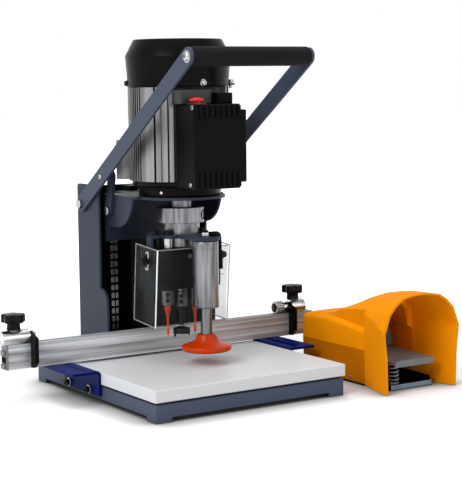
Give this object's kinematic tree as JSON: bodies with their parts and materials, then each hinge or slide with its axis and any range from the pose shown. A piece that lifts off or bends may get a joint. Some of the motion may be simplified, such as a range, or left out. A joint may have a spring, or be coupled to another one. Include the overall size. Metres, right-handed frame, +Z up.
{
  "type": "hinge boring machine",
  "caption": "Bench machine that bores hinge cups in doors: board table, fence with stops, lever-fed motor with multi-spindle head, clear guard, hold-down and foot pedal.",
  "frame": {"origin": "centre of the bounding box on the floor", "axes": "+X right along the fence, +Y away from the operator, +Z up"},
  "size_m": [0.6194, 0.409, 0.5259],
  "materials": {
    "steel_blue": "matt blue-grey powder coat",
    "carriage_blue": "matt dark blue-grey powder coat",
    "navy": "semi-gloss navy powder coat",
    "laminate": "white laminate on board",
    "aluminium": "brushed anodised aluminium",
    "cast_aluminium": "plain cast aluminium",
    "bright_steel": "bright turned steel",
    "dark_steel": "blackened steel",
    "black_paint": "satin black paint",
    "black_plastic": "satin black plastic",
    "foam": "soft black foam sleeve",
    "red_plastic": "glossy red plastic",
    "pad_orange": "orange-red rubber",
    "drill_orange": "orange coated steel",
    "hood_yellow": "orange-yellow moulded plastic",
    "clear": "clear polished plastic sheet"
  },
  "bodies": {
    "machine": {"base_frame": "steel_blue", "table_board": "laminate", "column": "steel_blue", "guide_rail": "dark_steel", "guide_chain": "bright_steel", "bracket_left": "navy", "bracket_right": "navy", "bracket_screw_left_front": "dark_steel", "bracket_screw_left_rear": "dark_steel", "bracket_screw_right_front": "dark_steel", "bracket_screw_right_rear": "dark_steel", "fence_profile": "aluminium", "fence_cap_left": "dark_steel", "fence_cap_right": "dark_steel", "pivot_bolt_left": "bright_steel", "pivot_bolt_right": "bright_steel", "pedal_hood": "hood_yellow", "pedal_base": "black_plastic", "pedal_pin": "bright_steel", "pedal_valve": "aluminium", "pedal_spring": "bright_steel"},
    "lever": {"arm_left": "steel_blue", "arm_right": "steel_blue", "grip_tube": "bright_steel", "grip": "foam"},
    "carriage": {"carriage_bracket": "carriage_blue", "motor_end_bell": "black_paint", "motor_body": "cast_aluminium", "fan_cover": "black_paint", "terminal_box": "black_plastic", "head_barrel": "aluminium", "gear_head": "black_paint", "clamp_bracket": "steel_blue", "clamp_cylinder": "aluminium", "air_elbow": "black_plastic", "link_bolt_left": "bright_steel", "link_bolt_right": "bright_steel"},
    "links": {"link_left": "steel_blue", "link_right": "steel_blue"},
    "centre_spindle": {"motor_shaft": "dark_steel", "cooling_fan": "black_plastic", "spindle_centre": "bright_steel", "cutter": "dark_steel"},
    "left_spindle": {"spindle_left": "bright_steel", "drill_left": "drill_orange"},
    "right_spindle": {"spindle_right": "bright_steel", "drill_right": "drill_orange"},
    "hold_down": {"clamp_rod": "bright_steel", "clamp_pad": "pad_orange"},
    "guard_sheet": {"guard": "clear"},
    "guard_screw_left": {"guard_knob_left": "black_plastic"},
    "guard_screw_right": {"guard_knob_right": "black_plastic"},
    "stop_left": {"stop_body_left": "bright_steel"},
    "stop_right": {"stop_body_right": "bright_steel"},
    "stop_screw_left": {"stop_knob_left": "black_plastic"},
    "stop_screw_right": {"stop_knob_right": "black_plastic"},
    "stop_finger_left": {"stop_plate_left": "black_paint"},
    "stop_finger_right": {"stop_plate_right": "black_paint"},
    "push_button": {"red_button": "red_plastic"},
    "treadle": {"pedal_treadle": "cast_aluminium"}
  },
  "joints": [
    {"name": "lever_pull", "type": "hinge", "parent": "machine", "child": "lever", "pos_m": [-0.03175, 0.1605, 0.277], "axis": [1, 0, 0], "range_deg": [0, 27]},
    {"name": "carriage_slide", "type": "slide", "parent": "machine", "child": "carriage", "axis": [0, 0, -1], "range_m": [0, 0.03], "stiffness_N_per_m": 1500, "springref_m": -0.19},
    {"name": "link_swing", "type": "hinge", "parent": "carriage", "child": "links", "pos_m": [-0.03175, 0.1045, 0.269], "axis": [1, 0, 0], "range_deg": [0, 17]},
    {"name": "centre_spin", "type": "hinge", "parent": "carriage", "child": "centre_spindle", "pos_m": [-0.03175, 0.0325, 0.2], "axis": [0, 0, 1], "continuous": true},
    {"name": "left_spin", "type": "hinge", "parent": "carriage", "child": "left_spindle", "pos_m": [-0.05575, 0.0325, 0.15], "axis": [0, 0, 1], "continuous": true},
    {"name": "right_spin", "type": "hinge", "parent": "carriage", "child": "right_spindle", "pos_m": [-0.00775, 0.0325, 0.15], "axis": [0, 0, 1], "continuous": true},
    {"name": "hold_down_slide", "type": "slide", "parent": "carriage", "child": "hold_down", "axis": [0, 0, 1], "range_m": [0, 0.012]},
    {"name": "guard_slide", "type": "slide", "parent": "carriage", "child": "guard_sheet", "axis": [0, -0.0872, 0.9962], "range_m": [-0.01, 0.01]},
    {"name": "guard_screw_left_turn", "type": "hinge", "parent": "carriage", "child": "guard_screw_left", "pos_m": [-0.10175, 0.0225, 0.199], "axis": [1, 0, 0], "range_deg": [0, 180]},
    {"name": "guard_screw_right_turn", "type": "hinge", "parent": "carriage", "child": "guard_screw_right", "pos_m": [0.03825, 0.0225, 0.199], "axis": [1, 0, 0], "range_deg": [0, 180]},
    {"name": "stop_left_slide", "type": "slide", "parent": "machine", "child": "stop_left", "axis": [1, 0, 0], "range_m": [0, 0.1]},
    {"name": "stop_right_slide", "type": "slide", "parent": "machine", "child": "stop_right", "axis": [-1, 0, 0], "range_m": [0, 0.1]},
    {"name": "stop_screw_left_turn", "type": "hinge", "parent": "stop_left", "child": "stop_screw_left", "pos_m": [-0.28875, 0.0791, 0.12], "axis": [0, 0, 1], "range_deg": [0, 180]},
    {"name": "stop_screw_right_turn", "type": "hinge", "parent": "stop_right", "child": "stop_screw_right", "pos_m": [0.20825, 0.0791, 0.12], "axis": [0, 0, 1], "range_deg": [0, 180]},
    {"name": "stop_left_flip", "type": "hinge", "parent": "stop_left", "child": "stop_finger_left", "pos_m": [-0.26375, 0.0791, 0.0954], "axis": [-1, 0, 0], "range_deg": [0, 110]},
    {"name": "stop_right_flip", "type": "hinge", "parent": "stop_right", "child": "stop_finger_right", "pos_m": [0.19725, 0.0791, 0.0954], "axis": [-1, 0, 0], "range_deg": [0, 45]},
    {"name": "button_press", "type": "slide", "parent": "carriage", "child": "push_button", "axis": [0, 0, -1], "range_m": [0, 0.003], "stiffness_N_per_m": 300, "springref_m": -0.002},
    {"name": "treadle_press", "type": "hinge", "parent": "machine", "child": "treadle", "pos_m": [0.24175, -0.0795, 0.044], "axis": [1, 0, 0], "range_deg": [0, 8], "stiffness_Nm_per_rad": 4, "springref_deg": -6.88, "deforming": ["pedal_spring"]}
  ],
  "couplings": [
    {"joint": "carriage_slide", "follows": "lever_pull", "m_per_rad": 0.0635},
    {"joint": "link_swing", "follows": "lever_pull", "ratio": 0.61},
    {"joint": "hold_down_slide", "follows": "lever_pull", "m_per_rad": 0.025},
    {"joint": "left_spin", "follows": "centre_spin", "ratio": -1},
    {"joint": "right_spin", "follows": "centre_spin", "ratio": -1}
  ]
}
